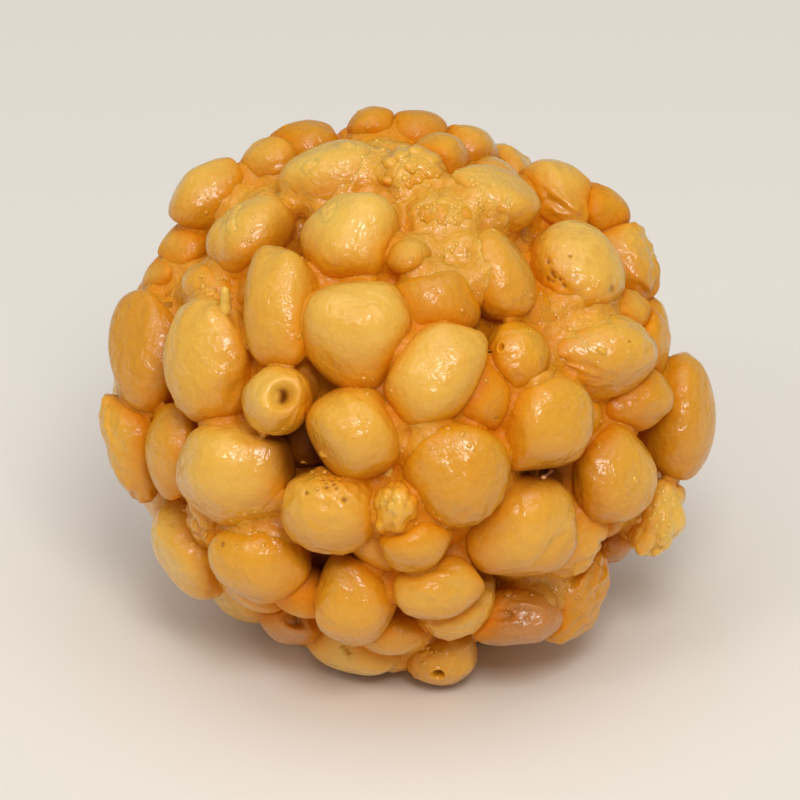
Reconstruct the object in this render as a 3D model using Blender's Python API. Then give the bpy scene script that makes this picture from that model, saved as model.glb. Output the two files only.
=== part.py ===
"""A boondi ladoo: a ball of fried gram-flour pearls, rolled by hand while the sugar on them is sticky.

It is one solid. A plain core fills the middle, and the pearls that show are fused onto it.
Lengths are in metres and +Z is up. The front faces -Y. The origin is the middle of the flat spot
that the ball rests on.
"""

import math

import bmesh
import bpy
import numpy as np
from mathutils import Matrix, Vector

# Driving dimensions.
BALL_RADIUS = 0.0230  # to the tops of the pearls
PEARL_RADIUS = 0.0034  # an average pearl
SETTLE = 0.0032  # how far its flat spot lies inside the round outline
SOLE_SUNK = 0.0024  # how much deeper the pearl in the middle of the flat spot lies
CORE_DEPTH = 0.0052  # from the tops of the pearls down to the core
PEARL_DEPTH = PEARL_RADIUS  # from the ball's surface down to the middles of the outer pearls

# The rule for the outer pearls. Shares of a radius have no unit.
SEED = 36
SLOTS = 124  # evenly spread places, of which the loose pearls take those that are free
CLEAR = 0.20  # a slot this near a fixed pearl is taken, in ball radii
BEHIND = 0.05  # loose pearls start behind this distance in front of the ball's middle, in ball radii
SIZE_SPREAD = 0.11  # standard deviation of a pearl's radius, as a share of it
SMALLEST, LARGEST = 0.74, 1.20  # limits of that radius, in average pearl radii
LONGEST = 1.32  # most that a pearl is stretched along its own length
TILT = math.radians(24)  # most that a pearl's length leans out of the ball's surface
SUNK, PROUD = 0.0009, 0.0004  # how far a pearl lies under or over the ball's surface
SPACING = 0.98  # distance between touching pearls, as a share of their two radii
SQUEEZED = 0.82  # a pearl with less than this share of the room it needs is left out
RELAX_STEPS = 400
PUSH_SHARE = 0.3  # of an overlap, mended in one step
GOLDEN_ANGLE = math.pi * (3 - math.sqrt(5))

# The deeper pearls, which show in the gaps between the outer ones.
GAP_PEARLS = 40
GAP_RADIUS = 0.90 * PEARL_RADIUS
GAP_SPACING = 0.86  # they are pressed harder against their neighbours
GAP_DIRECTIONS = 4000  # tried for each of them
SINK_STEPS = 6  # from one neighbour down to the next, until it fits between them
GAP_FRONT = 0.15  # beyond this distance in front of the ball's middle, in ball radii,
GAP_SUNK = 0.0011  # they lie this much deeper, behind the front pearls
HOLLOWS = [(-0.37, -0.20), (-0.43, 0.63), (0.58, -0.30)]  # open gaps at the front: across and up
HOLLOW_WIDTH = 0.16  # within this distance of an open gap, in ball radii,
HOLLOW_DEPTH = 0.0060  # they lie this much deeper still

# Hand rolling leaves broad bulges and hollows.
BULGE_COUNT = 9
BULGE_HEIGHT = 0.035  # share of the ball's radius
BULGE_SPREAD = 0.35  # larger is broader

# The pearls that stand out at the front, as seen from FRONT_ELEVATION above the horizon. Across and
# up are measured from the ball's centre in ball radii. Long and short are the pearl's radii in
# average pearl radii, turn is the angle of the long one from across, in degrees, and deep is how much
# deeper than the others it lies, in average pearl radii.
FRONT_ELEVATION = math.radians(30)
THICKNESS = 0.80  # the least radius of a front pearl from front to back, in average pearl radii
FRONT_PEARLS = {
    #                  across    up  long short turn deep
    "middle_smooth": (-0.14, 0.22, 1.12, 1.18, 90, 0.0),
    "middle_slanted": (0.12, 0.09, 1.32, 0.98, 42, 0.0),
    "middle_blunt": (-0.14, -0.11, 1.08, 1.02, -20, 0.0),
    "middle_wrinkled": (0.18, -0.24, 1.18, 1.14, 80, 0.0),
    "middle_behind": (0.26, 0.01, 0.85, 0.75, 100, 0.6),
    "upper_pale": (-0.16, 0.55, 1.08, 1.02, 70, 0.0),
    "upper_orange": (0.12, 0.32, 0.98, 0.80, 0, 0.45),
    "upper_tall": (0.33, 0.42, 1.02, 0.74, 100, 0.3),
    "upper_small": (0.03, 0.49, 0.50, 0.44, 20, 0.2),
    "upper_glazed": (0.15, 0.60, 0.90, 0.75, 0, 0.6),
    "upper_webbed": (-0.52, 0.56, 1.00, 0.82, 30, 0.05),
    "upper_left": (-0.74, 0.52, 0.80, 0.66, 80, -0.5),
    "upper_left_bump": (-0.81, 0.42, 0.64, 0.58, 60, -0.4),
    "upper_torn": (-0.64, 0.36, 0.80, 0.62, -20, 0.75),
    "top_left": (-0.66, 0.70, 0.98, 0.82, 45, -0.8),
    "top_left_pale": (-0.44, 0.80, 0.80, 0.74, 0, -0.6),
    "top_orange": (-0.33, 0.87, 0.88, 0.68, 5, -0.3),
    "top_broad": (-0.25, 0.76, 1.15, 0.85, 5, 0.0),
    "top_small": (-0.14, 0.88, 0.66, 0.60, 0, 0.0),
    "top_knob": (-0.09, 0.94, 0.56, 0.54, 0, -0.3),
    "top_right_orange": (0.05, 0.92, 0.74, 0.60, 0, -0.3),
    "top_beaded": (0.04, 0.77, 0.74, 0.70, 0, 0.0),
    "top_middle": (0.14, 0.83, 0.70, 0.64, -30, 0.0),
    "top_spotted": (0.24, 0.86, 0.72, 0.64, -30, 0.0),
    "top_right_broad": (0.31, 0.68, 1.02, 0.80, -4, 0.0),
    "top_right_ribbed": (0.55, 0.69, 1.06, 0.86, -35, -0.8),
    "top_right_edge": (0.69, 0.65, 0.74, 0.64, -50, -0.6),
    "left_tall": (-0.40, 0.31, 1.34, 0.86, 97, 0.0),
    "left_large": (-0.64, 0.13, 1.31, 1.07, 95, 0.0),
    "left_edge": (-0.85, 0.15, 1.50, 1.05, 95, -1.2),
    "left_low_edge": (-0.92, -0.15, 1.28, 0.78, 106, -0.8),
    "left_behind": (-0.76, -0.17, 1.08, 0.78, 95, 0.6),
    "left_ring": (-0.42, 0.00, 0.73, 0.69, 10, 0.0),
    "left_broad": (-0.55, -0.24, 1.32, 1.10, 5, 0.0),
    "right_pinhole": (0.40, 0.15, 0.74, 0.70, 60, 0.4),
    "right_dented": (0.60, 0.43, 1.12, 1.10, 100, -0.1),
    "right_upper": (0.77, 0.48, 1.02, 0.80, 100, -0.8),
    "right_pale_bit": (0.77, 0.29, 0.66, 0.56, 20, 0.0),
    "right_sliver": (0.83, 0.20, 0.90, 0.72, 95, -0.3),
    "right_flat": (0.68, 0.16, 1.38, 0.92, 3, 0.0),
    "right_under": (0.79, 0.02, 1.00, 0.80, 10, 0.35),
    "right_round": (0.50, -0.08, 1.12, 1.06, 100, 0.0),
    "right_egg": (0.74, -0.25, 1.04, 0.96, 80, -0.2),
    "right_edge": (0.95, -0.06, 1.40, 0.98, 100, -0.6),
    "right_crumbly": (0.89, -0.40, 0.82, 0.68, 80, -0.5),
    "right_clear": (0.74, -0.48, 0.62, 0.52, 0, 0.4),
    "lower_speckled": (-0.24, -0.37, 1.00, 0.94, 0, 0.0),
    "lower_crumbly": (-0.01, -0.37, 0.55, 0.48, 80, 0.0),
    "lower_small": (0.05, -0.48, 0.74, 0.64, 0, 0.0),
    "lower_slanted": (0.42, -0.44, 1.34, 1.14, 32, 0.0),
    "lower_left": (-0.46, -0.55, 1.22, 0.97, -18, 0.0),
    "lower_left_edge": (-0.71, -0.50, 1.12, 0.95, 110, -0.8),
    "lower_behind": (-0.34, -0.65, 0.80, 0.62, -20, 0.7),
    "lower_hollow": (-0.38, -0.76, 0.70, 0.60, -35, 0.7),
    "lower_angular": (-0.155, -0.68, 1.12, 0.94, 88, 0.0),
    "lower_right": (0.13, -0.65, 0.98, 0.70, 4, 0.0),
    "lower_under": (-0.02, -0.80, 0.80, 0.62, 0, 0.7),
    "lower_pink": (0.39, -0.75, 1.04, 0.66, -8, -0.2),
    "lower_brown": (0.58, -0.66, 1.12, 0.92, 75, -0.8),
    "bottom_holed": (0.14, -0.88, 0.78, 0.74, 90, -0.5),
    "upper_sunken": (0.18, 0.50, 0.62, 0.54, 0, 0.8),
}

# How fine the faceted surface is.
PEARL_SUBDIVISIONS = 2
CORE_SUBDIVISIONS = 3
FACET_FILL = 1.035  # a faceted ball this much larger holds as much as the round one
TRIANGLES = 10600  # of the fused ball, once the slivers along its seams are gone
SHARP_ANGLE = math.radians(50)  # a crease steeper than this isn't shaded smooth

CUTTER_SIZE = 0.080  # wider than the ball
PEARL_COLOR = (0.80, 0.42, 0.09, 1.0)
PEARL_ROUGHNESS = 0.30
SUGAR_COAT = 0.50


def clear_scene():
    for obj in list(bpy.data.objects):
        bpy.data.objects.remove(obj)


def new_collection(name):
    collection = bpy.data.collections.new(name)
    bpy.context.scene.collection.children.link(collection)
    return collection


def move_to(obj, collection):
    for other in list(obj.users_collection):
        other.objects.unlink(obj)
    collection.objects.link(obj)


def unit(vectors):
    return vectors / np.linalg.norm(vectors, axis=-1, keepdims=True)


def view_axes():
    """Across, up and towards the viewer, as seen from FRONT_ELEVATION above the front."""
    low, high = math.cos(FRONT_ELEVATION), math.sin(FRONT_ELEVATION)
    return np.array([[1, 0, 0], [0, high, low], [0, -low, high]], float)


def spiral(count):
    """Directions spread evenly over a sphere."""
    index = np.arange(count)
    height = 1 - (2 * index + 1) / count
    ring = np.sqrt(1 - height**2)
    angle = index * GOLDEN_ANGLE
    return np.stack([ring * np.cos(angle), ring * np.sin(angle), height], axis=1)


def ball_surface(directions, bulges, heights):
    """The distance from the ball's centre to its uneven surface in each direction."""
    nearness = np.exp((directions @ bulges.T - 1) / BULGE_SPREAD)
    return BALL_RADIUS * (1 + BULGE_HEIGHT * (nearness @ heights))


def front_pearls():
    """Places, radii and axes of the pearls that stand out at the front."""
    across, up, towards = view_axes()
    places, radii, axes = [], [], []
    for right, above, long, short, turn, deep in FRONT_PEARLS.values():
        flat = BALL_RADIUS * (right * across + above * up)
        thick = max(short, THICKNESS)
        middle = BALL_RADIUS - thick * PEARL_RADIUS
        reach = math.sqrt(max(middle**2 - flat @ flat, 0.0)) - deep * PEARL_RADIUS
        angle = math.radians(turn)
        length = math.cos(angle) * across + math.sin(angle) * up
        places.append(flat + reach * towards)
        radii.append([long, short, thick])
        axes.append([length, np.cross(towards, length), towards])
    return np.array(places), PEARL_RADIUS * np.array(radii), np.array(axes)


def leaning_axes(outward, rng):
    """Axes of a pearl whose length lies nearly along the ball's surface, turned at random."""
    any_way = unit(np.cross(outward, rng.normal(size=outward.shape)))
    lean = rng.uniform(-TILT, TILT, (len(outward), 1))
    length = unit(np.cos(lean) * any_way + np.sin(lean) * outward)
    side = unit(np.cross(outward, length))
    return np.stack([length, side, np.cross(length, side)], axis=1)


def spread_out(places, sizes, loose, surface, lift):
    """Lets the loose pearls push each other along the ball until each has its own room."""
    for _ in range(RELAX_STEPS):
        apart = places[:, None] - places[None]
        distance = np.linalg.norm(apart, axis=2) + np.eye(len(places))
        overlap = np.maximum(SPACING * (sizes[:, None] + sizes[None]) - distance, 0.0)
        np.fill_diagonal(overlap, 0.0)
        push = (apart * (overlap / distance)[:, :, None]).sum(axis=1)
        outward = unit(places[:loose] + PUSH_SHARE * push[:loose])
        places[:loose] = outward * (surface(outward) - PEARL_DEPTH + lift)[:, None]
    return places


def roomy(places, sizes, loose):
    """Marks the pearls to keep: all but the loose ones that are still squeezed."""
    distance = np.linalg.norm(places[:, None] - places[None], axis=2)
    room = distance / (sizes[:, None] + sizes[None])
    np.fill_diagonal(room, np.inf)
    keep = np.ones(len(places), bool)
    for index in range(loose):
        keep[index] = room[index][keep].min() >= SQUEEZED
    return keep


def fill_gaps(places, sizes):
    """Places of the deeper pearls. Each sinks in where there is most room for it."""
    directions = spiral(GAP_DIRECTIONS)
    across, up, towards = view_axes()
    in_front = directions @ towards > GAP_FRONT
    outermost = BALL_RADIUS - PEARL_DEPTH - np.where(in_front, GAP_SUNK, 0.0)
    for right, above in HOLLOWS:
        aside = np.hypot(directions @ across - right, directions @ up - above)
        outermost = outermost - np.where(in_front & (aside < HOLLOW_WIDTH), HOLLOW_DEPTH, 0.0)
    for _ in range(GAP_PEARLS):
        along = directions @ places.T
        chord = along**2 - (places**2).sum(axis=1) + (GAP_SPACING * (sizes + GAP_RADIUS)) ** 2
        half = np.sqrt(np.maximum(chord, 0.0))
        seat = outermost
        for _ in range(SINK_STEPS):
            inside = np.abs(seat[:, None] - along) < half
            seat = np.where(inside, along - half, seat[:, None]).min(axis=1)
        best = seat.argmax()
        places = np.vstack([places, directions[best] * seat[best]])
        sizes = np.append(sizes, GAP_RADIUS)
    return places[-GAP_PEARLS:]


def lay_pearls():
    """Places, radii and axes of all pearls, measured from the ball's centre.

    The pearls at the front and the one underneath stay put. The others start on a spiral behind
    them and find their own room, and the deeper ones then fill the gaps.
    """
    rng = np.random.default_rng(SEED)
    bulges = unit(rng.normal(size=(BULGE_COUNT, 3)))
    heights = rng.uniform(-1, 1, BULGE_COUNT)
    front_places, front_radii, front_axes = front_pearls()
    underneath = [[0, 0, PEARL_DEPTH + SOLE_SUNK - BALL_RADIUS]]
    fixed = np.vstack([front_places, underneath])
    fixed_radii = np.vstack([front_radii, np.full((1, 3), PEARL_RADIUS)])
    fixed_axes = np.concatenate([front_axes, np.eye(3)[None]])

    slots = spiral(SLOTS)
    nearest = np.linalg.norm(slots[:, None] - unit(fixed)[None], axis=2).min(axis=1)
    start = slots[(nearest > CLEAR) & (slots @ view_axes()[2] < BEHIND)]
    loose = len(start)
    sizes = PEARL_RADIUS * np.clip(rng.normal(1, SIZE_SPREAD, loose), SMALLEST, LARGEST)
    lift = rng.uniform(-SUNK, PROUD, loose)
    stretch = rng.uniform(1, LONGEST, loose)
    radii = sizes[:, None] * np.stack([stretch ** (2 / 3), stretch ** (-1 / 3), stretch ** (-1 / 3)], axis=1)

    places = np.vstack([start * BALL_RADIUS, fixed])
    sizes = np.append(sizes, fixed_radii.mean(axis=1))
    places = spread_out(places, sizes, loose, lambda way: ball_surface(way, bulges, heights), lift)
    keep = roomy(places, sizes, loose)
    deeper = fill_gaps(places[keep], sizes[keep])

    axes = leaning_axes(unit(np.vstack([places[:loose], deeper])), rng)
    places = np.vstack([places[keep], deeper])
    radii = np.vstack([radii[keep[:loose]], fixed_radii, np.full((GAP_PEARLS, 3), GAP_RADIUS)])
    axes = np.concatenate([axes[:loose][keep[:loose]], fixed_axes, axes[loose:]])
    return places, radii, axes


def add_pearls(collection, centre):
    """One faceted pearl for each place, all sharing one mesh."""
    bpy.ops.mesh.primitive_ico_sphere_add(subdivisions=PEARL_SUBDIVISIONS, radius=FACET_FILL)
    pattern = bpy.context.active_object
    for place, radii, axes in zip(*lay_pearls()):
        pearl = bpy.data.objects.new("pearl", pattern.data)
        turn = Matrix(axes).transposed().to_4x4()
        size = Matrix.Diagonal((*radii, 1))
        pearl.matrix_world = Matrix.Translation(centre + Vector(place)) @ turn @ size
        collection.objects.link(pearl)
    bpy.data.objects.remove(pattern)


def add_core(collection, centre):
    radius = BALL_RADIUS - CORE_DEPTH
    bpy.ops.mesh.primitive_ico_sphere_add(subdivisions=CORE_SUBDIVISIONS, radius=radius, location=centre)
    core = bpy.context.active_object
    move_to(core, collection)
    return core


def add_floor_cutter(collection):
    """A block that fills everything below the surface the ball rests on."""
    bpy.ops.mesh.primitive_cube_add(size=CUTTER_SIZE, location=(0, 0, -CUTTER_SIZE / 2))
    cutter = bpy.context.active_object
    cutter.name = "floor_cutter"
    move_to(cutter, collection)
    cutter.hide_render = True
    cutter.display_type = "WIRE"
    return cutter


def keep_largest_shell(mesh):
    """Keeps the mesh's largest shell, so that sealed hollows are filled and loose scraps dropped."""
    work = bmesh.new()
    work.from_mesh(mesh)
    bmesh.ops.triangulate(work, faces=work.faces)
    unseen, shells = set(work.faces), []
    while unseen:
        shell, edge = [], [unseen.pop()]
        while edge:
            face = edge.pop()
            shell.append(face)
            near = {other for side in face.edges for other in side.link_faces} & unseen
            unseen -= near
            edge.extend(near)
        shells.append(shell)
    scraps = [face for shell in sorted(shells, key=len)[:-1] for face in shell]
    bmesh.ops.delete(work, geom=scraps, context="FACES")
    work.to_mesh(mesh)
    work.free()


def pearl_material():
    material = bpy.data.materials.new("sugared_pearl")
    material.use_nodes = True
    shader = material.node_tree.nodes["Principled BSDF"]
    shader.inputs["Base Color"].default_value = PEARL_COLOR
    shader.inputs["Roughness"].default_value = PEARL_ROUGHNESS
    shader.inputs["Metallic"].default_value = 0.0
    shader.inputs["Coat Weight"].default_value = SUGAR_COAT
    return material


def fuse(core, pearls):
    """The mesh of the core and all the pearls as one closed body."""
    modifier = core.modifiers.new("fuse_pearls", "BOOLEAN")
    modifier.operation = "UNION"
    modifier.operand_type = "COLLECTION"
    modifier.collection = pearls
    modifier.solver = "MANIFOLD"
    bpy.context.view_layer.update()
    evaluated = core.evaluated_get(bpy.context.evaluated_depsgraph_get())
    mesh = bpy.data.meshes.new_from_object(evaluated)
    mesh.name = "ladoo"
    core.modifiers.clear()
    for pearl in list(pearls.objects):
        bpy.data.objects.remove(pearl)
    keep_largest_shell(mesh)
    return mesh


def make_ladoo():
    parts = new_collection("boondi_ladoo")
    pearls = new_collection("pearls_to_fuse")
    cutters = new_collection("cutters")
    centre = Vector((0, 0, BALL_RADIUS - SETTLE))
    add_pearls(pearls, centre)
    ladoo = add_core(parts, centre)
    ladoo.name = "ladoo"
    ladoo.data = fuse(ladoo, pearls)
    ladoo.data.materials.append(pearl_material())

    simplify = ladoo.modifiers.new("simplify_seams", "DECIMATE")
    simplify.ratio = TRIANGLES / len(ladoo.data.polygons)
    flatten = ladoo.modifiers.new("flatten_underside", "BOOLEAN")
    flatten.operation = "DIFFERENCE"
    flatten.object = add_floor_cutter(cutters)
    flatten.solver = "MANIFOLD"
    ladoo.data.shade_smooth()
    ladoo.data.set_sharp_from_angle(angle=SHARP_ANGLE)


clear_scene()
make_ladoo()
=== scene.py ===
"""The looks of a boondi ladoo: fried gram-flour pearls, held together and glazed with boiled sugar.

Lengths are in metres and +Z is up. The pearls lie where the frame's solid has them, by the same rule
and the same random draws, but for two of the deeper ones. Each piece is one kind of pearl, or what
sticks to them.
"""

import math

import bpy
import numpy as np
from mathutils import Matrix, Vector


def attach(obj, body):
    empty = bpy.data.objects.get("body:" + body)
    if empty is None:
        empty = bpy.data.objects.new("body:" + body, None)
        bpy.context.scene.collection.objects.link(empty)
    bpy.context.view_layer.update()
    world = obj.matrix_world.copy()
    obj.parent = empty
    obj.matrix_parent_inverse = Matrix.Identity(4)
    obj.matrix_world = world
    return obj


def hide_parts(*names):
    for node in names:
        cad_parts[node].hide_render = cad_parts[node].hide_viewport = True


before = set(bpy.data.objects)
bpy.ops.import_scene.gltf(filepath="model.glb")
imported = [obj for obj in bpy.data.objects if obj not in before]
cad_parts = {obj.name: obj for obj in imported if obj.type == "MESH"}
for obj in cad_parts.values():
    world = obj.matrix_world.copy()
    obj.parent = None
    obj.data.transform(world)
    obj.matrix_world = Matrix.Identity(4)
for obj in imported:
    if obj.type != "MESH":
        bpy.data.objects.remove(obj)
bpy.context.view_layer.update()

# Driving dimensions, the same as the solid's.
BALL_RADIUS = 0.0230  # to the tops of the pearls
PEARL_RADIUS = 0.0034  # an average pearl
SETTLE = 0.0032  # how far its flat spot lies inside the round outline
SOLE_SUNK = 0.0024  # how much deeper the pearl in the middle of the flat spot lies
PEARL_DEPTH = PEARL_RADIUS  # from the ball's surface down to the middles of the outer pearls
CENTRE = np.array([0.0, 0.0, BALL_RADIUS - SETTLE])

# The rule for the outer pearls, the same as the solid's.
SEED = 36
SLOTS = 124  # evenly spread places, of which the loose pearls take those that are free
CLEAR = 0.20  # a slot this near a fixed pearl is taken, in ball radii
BEHIND = 0.05  # loose pearls start behind this distance in front of the ball's middle, in ball radii
SIZE_SPREAD = 0.11  # standard deviation of a pearl's radius, as a share of it
SMALLEST, LARGEST = 0.74, 1.20  # limits of that radius, in average pearl radii
LONGEST = 1.32  # most that a pearl is stretched along its own length
TILT = math.radians(24)  # most that a pearl's length leans out of the ball's surface
SUNK, PROUD = 0.0009, 0.0004  # how far a pearl lies under or over the ball's surface
SPACING = 0.98  # distance between touching pearls, as a share of their two radii
SQUEEZED = 0.82  # a pearl with less than this share of the room it needs is left out
RELAX_STEPS = 400
PUSH_SHARE = 0.3  # of an overlap, mended in one step
GOLDEN_ANGLE = math.pi * (3 - math.sqrt(5))

# The deeper pearls. The first of them are in the solid, and the rest lie under those.
GAP_PEARLS = 40
INNER_PEARLS = 60
GAP_RADIUS = 0.90 * PEARL_RADIUS
GAP_SPACING = 0.86  # they are pressed harder against their neighbours
GAP_DIRECTIONS = 4000  # tried for each of them
GAP_FRONT = 0.15  # beyond this distance in front of the ball's middle, in ball radii,
GAP_SUNK = 0.0012  # they lie this much deeper, behind the front pearls: 0.1 mm more than the solid's
HOLLOWS = [(-0.37, -0.20), (-0.43, 0.63), (0.58, -0.30)]  # open gaps at the front: across and up
HOLLOW_WIDTH = 0.16  # within this distance of an open gap, in ball radii,
HOLLOW_DEPTH = 0.0060  # they lie this much deeper still
SINK_STEPS = 6  # from one neighbour down to the next, until it fits between them

# Hand rolling leaves broad bulges and hollows.
BULGE_COUNT = 9
BULGE_HEIGHT = 0.035  # share of the ball's radius
BULGE_SPREAD = 0.35  # larger is broader

# The pearls that stand out at the front, as seen from FRONT_ELEVATION above the horizon. Across and
# up are measured from the ball's centre in ball radii. Long and short are the pearl's radii in
# average pearl radii, turn is the angle of the long one from across, in degrees, and deep is how much
# deeper than the others it lies, in average pearl radii. Its shade is 0 for deep orange and 1 for pale
# yellow; the lower pearls' shades are set deeper, as painted shade for the ball's underside. Its taper
# is how much narrower it is at the far end of its length than in the middle.
FRONT_ELEVATION = math.radians(30)
ACROSS = np.array([1.0, 0.0, 0.0])
UP = np.array([0.0, math.sin(FRONT_ELEVATION), math.cos(FRONT_ELEVATION)])
TOWARDS = np.array([0.0, -math.cos(FRONT_ELEVATION), math.sin(FRONT_ELEVATION)])  # the viewer
THICKNESS = 0.80  # the least radius of a front pearl from front to back, in average pearl radii
FRONT_PEARLS = {
    #                  across   up  long short turn deep  kind    shade taper
    "middle_smooth": (-0.14, 0.22, 1.12, 1.18, 90, 0.0, "smooth", 0.90, -0.34),
    "middle_slanted": (0.12, 0.09, 1.32, 0.98, 42, 0.0, "smooth", 0.90, -0.06),
    "middle_blunt": (-0.14, -0.11, 1.08, 1.02, -20, 0.0, "pressed", 0.70, 0.02),
    "middle_wrinkled": (0.18, -0.24, 1.18, 1.14, 80, 0.0, "wrinkled", 0.35, 0.05),
    "middle_behind": (0.26, 0.01, 0.85, 0.75, 100, 0.6, "smooth", 0.40, 0.00),
    "upper_pale": (-0.16, 0.55, 1.08, 1.02, 70, 0.0, "smooth", 1.00, 0.10),
    "upper_orange": (0.12, 0.32, 0.98, 0.80, 0, 0.45, "smooth", 0.25, 0.00),
    "upper_tall": (0.33, 0.42, 1.02, 0.74, 100, 0.3, "smooth", 0.55, 0.06),
    "upper_small": (0.03, 0.49, 0.50, 0.44, 20, 0.2, "smooth", 0.75, 0.00),
    "upper_glazed": (0.15, 0.60, 0.90, 0.75, 0, 0.6, "wrinkled", 0.50, 0.00),
    "upper_webbed": (-0.52, 0.56, 1.00, 0.82, 30, 0.05, "smooth", 0.85, 0.10),
    "upper_left": (-0.74, 0.52, 0.80, 0.66, 80, -0.5, "smooth", 0.80, 0.00),
    "upper_left_bump": (-0.81, 0.42, 0.64, 0.58, 60, -0.4, "smooth", 0.75, 0.00),
    "upper_torn": (-0.64, 0.36, 0.80, 0.62, -20, 0.75, "wrinkled", 0.60, 0.00),
    "top_left": (-0.66, 0.70, 0.98, 0.82, 45, -0.8, "smooth", 0.80, 0.08),
    "top_left_pale": (-0.44, 0.80, 0.80, 0.74, 0, -0.6, "pressed", 0.75, 0.00),
    "top_orange": (-0.33, 0.87, 0.88, 0.68, 5, -0.3, "smooth", 0.20, 0.00),
    "top_broad": (-0.25, 0.76, 1.15, 0.85, 5, 0.0, "smooth", 0.95, -0.06),
    "top_small": (-0.14, 0.88, 0.66, 0.60, 0, 0.0, "pressed", 0.65, 0.00),
    "top_knob": (-0.09, 0.94, 0.56, 0.54, 0, -0.3, "smooth", 0.35, 0.00),
    "top_right_orange": (0.05, 0.92, 0.74, 0.60, 0, -0.3, "smooth", 0.20, 0.00),
    "top_beaded": (0.04, 0.77, 0.74, 0.70, 0, 0.0, "crumbly", 0.75, 0.00),
    "top_middle": (0.14, 0.83, 0.70, 0.64, -30, 0.0, "smooth", 0.55, 0.00),
    "top_spotted": (0.24, 0.86, 0.72, 0.64, -30, 0.0, "pitted", 0.60, 0.00),
    "top_right_broad": (0.31, 0.68, 1.02, 0.80, -4, 0.0, "pressed", 0.90, 0.00),
    "top_right_ribbed": (0.55, 0.69, 1.06, 0.86, -35, -0.8, "wrinkled", 0.85, 0.10),
    "top_right_edge": (0.69, 0.65, 0.74, 0.64, -50, -0.6, "smooth", 0.45, 0.00),
    "left_tall": (-0.40, 0.31, 1.34, 0.86, 97, 0.0, "smooth", 0.70, -0.05),
    "left_large": (-0.64, 0.13, 1.31, 1.07, 95, 0.0, "wrinkled", 0.80, 0.02),
    "left_edge": (-0.85, 0.15, 1.50, 1.05, 95, -1.2, "smooth", 0.25, 0.05),
    "left_low_edge": (-0.92, -0.15, 1.28, 0.78, 106, -0.8, "wrinkled", 0.70, 0.00),
    "left_behind": (-0.76, -0.17, 1.08, 0.78, 95, 0.6, "smooth", 0.40, 0.00),
    "left_ring": (-0.42, 0.00, 0.73, 0.69, 10, 0.0, "holed", 0.85, 0.00),
    "left_broad": (-0.55, -0.24, 1.32, 1.10, 5, 0.0, "pressed", 0.85, 0.00),
    "right_pinhole": (0.40, 0.15, 0.74, 0.70, 60, 0.4, "holed", 0.50, 0.00),
    "right_dented": (0.60, 0.43, 1.12, 1.10, 100, -0.1, "pitted", 0.95, 0.06),
    "right_upper": (0.77, 0.48, 1.02, 0.80, 100, -0.8, "wrinkled", 0.80, 0.00),
    "right_pale_bit": (0.77, 0.29, 0.66, 0.56, 20, 0.0, "wrinkled", 0.70, 0.00),
    "right_sliver": (0.83, 0.20, 0.90, 0.72, 95, -0.3, "smooth", 0.50, 0.00),
    "right_flat": (0.68, 0.16, 1.38, 0.92, 3, 0.0, "wrinkled", 0.70, 0.00),
    "right_under": (0.79, 0.02, 1.00, 0.80, 10, 0.35, "smooth", 0.45, 0.00),
    "right_round": (0.50, -0.08, 1.12, 1.06, 100, 0.0, "smooth", 0.55, 0.00),
    "right_egg": (0.74, -0.25, 1.04, 0.96, 80, -0.2, "smooth", 0.60, 0.06),
    "right_edge": (0.95, -0.06, 1.40, 0.98, 100, -0.6, "smooth", 0.40, -0.12),
    "right_crumbly": (0.89, -0.40, 0.82, 0.68, 80, -0.5, "crumbly", 1.05, 0.00),
    "right_clear": (0.74, -0.48, 0.62, 0.52, 0, 0.4, "brown", 0.60, 0.00),
    "lower_speckled": (-0.24, -0.37, 1.00, 0.94, 0, 0.0, "pitted", 0.65, 0.00),
    "lower_crumbly": (-0.01, -0.37, 0.55, 0.48, 80, 0.0, "crumbly", 0.80, 0.00),
    "lower_small": (0.05, -0.48, 0.74, 0.64, 0, 0.0, "smooth", 0.48, 0.00),
    "lower_slanted": (0.42, -0.44, 1.34, 1.14, 32, 0.0, "pressed", 0.60, -0.10),
    "lower_left": (-0.46, -0.55, 1.22, 0.97, -18, 0.0, "pressed", 0.50, 0.00),
    "lower_left_edge": (-0.71, -0.50, 1.12, 0.95, 110, -0.8, "wrinkled", 0.85, 0.10),
    "lower_behind": (-0.34, -0.65, 0.80, 0.62, -20, 0.7, "smooth", 0.40, 0.00),
    "lower_hollow": (-0.38, -0.76, 0.70, 0.60, -35, 0.7, "brown", 0.30, 0.00),
    "lower_angular": (-0.155, -0.68, 1.12, 0.94, 88, 0.0, "pressed", 0.50, 0.00),
    "lower_right": (0.13, -0.65, 0.98, 0.70, 4, 0.0, "wrinkled", 0.62, 0.06),
    "lower_under": (-0.02, -0.80, 0.80, 0.62, 0, 0.7, "smooth", 0.30, 0.00),
    "lower_pink": (0.39, -0.75, 1.04, 0.66, -8, -0.2, "brown", 0.80, 0.00),
    "lower_brown": (0.58, -0.66, 1.12, 0.92, 75, -0.8, "wrinkled", 0.15, 0.00),
    "bottom_holed": (0.14, -0.88, 0.78, 0.74, 90, -0.5, "holed", 0.50, 0.00),
    "upper_sunken": (0.18, 0.50, 0.62, 0.54, 0, 0.8, "crumbly", 0.60, 0.00),
}


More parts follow.
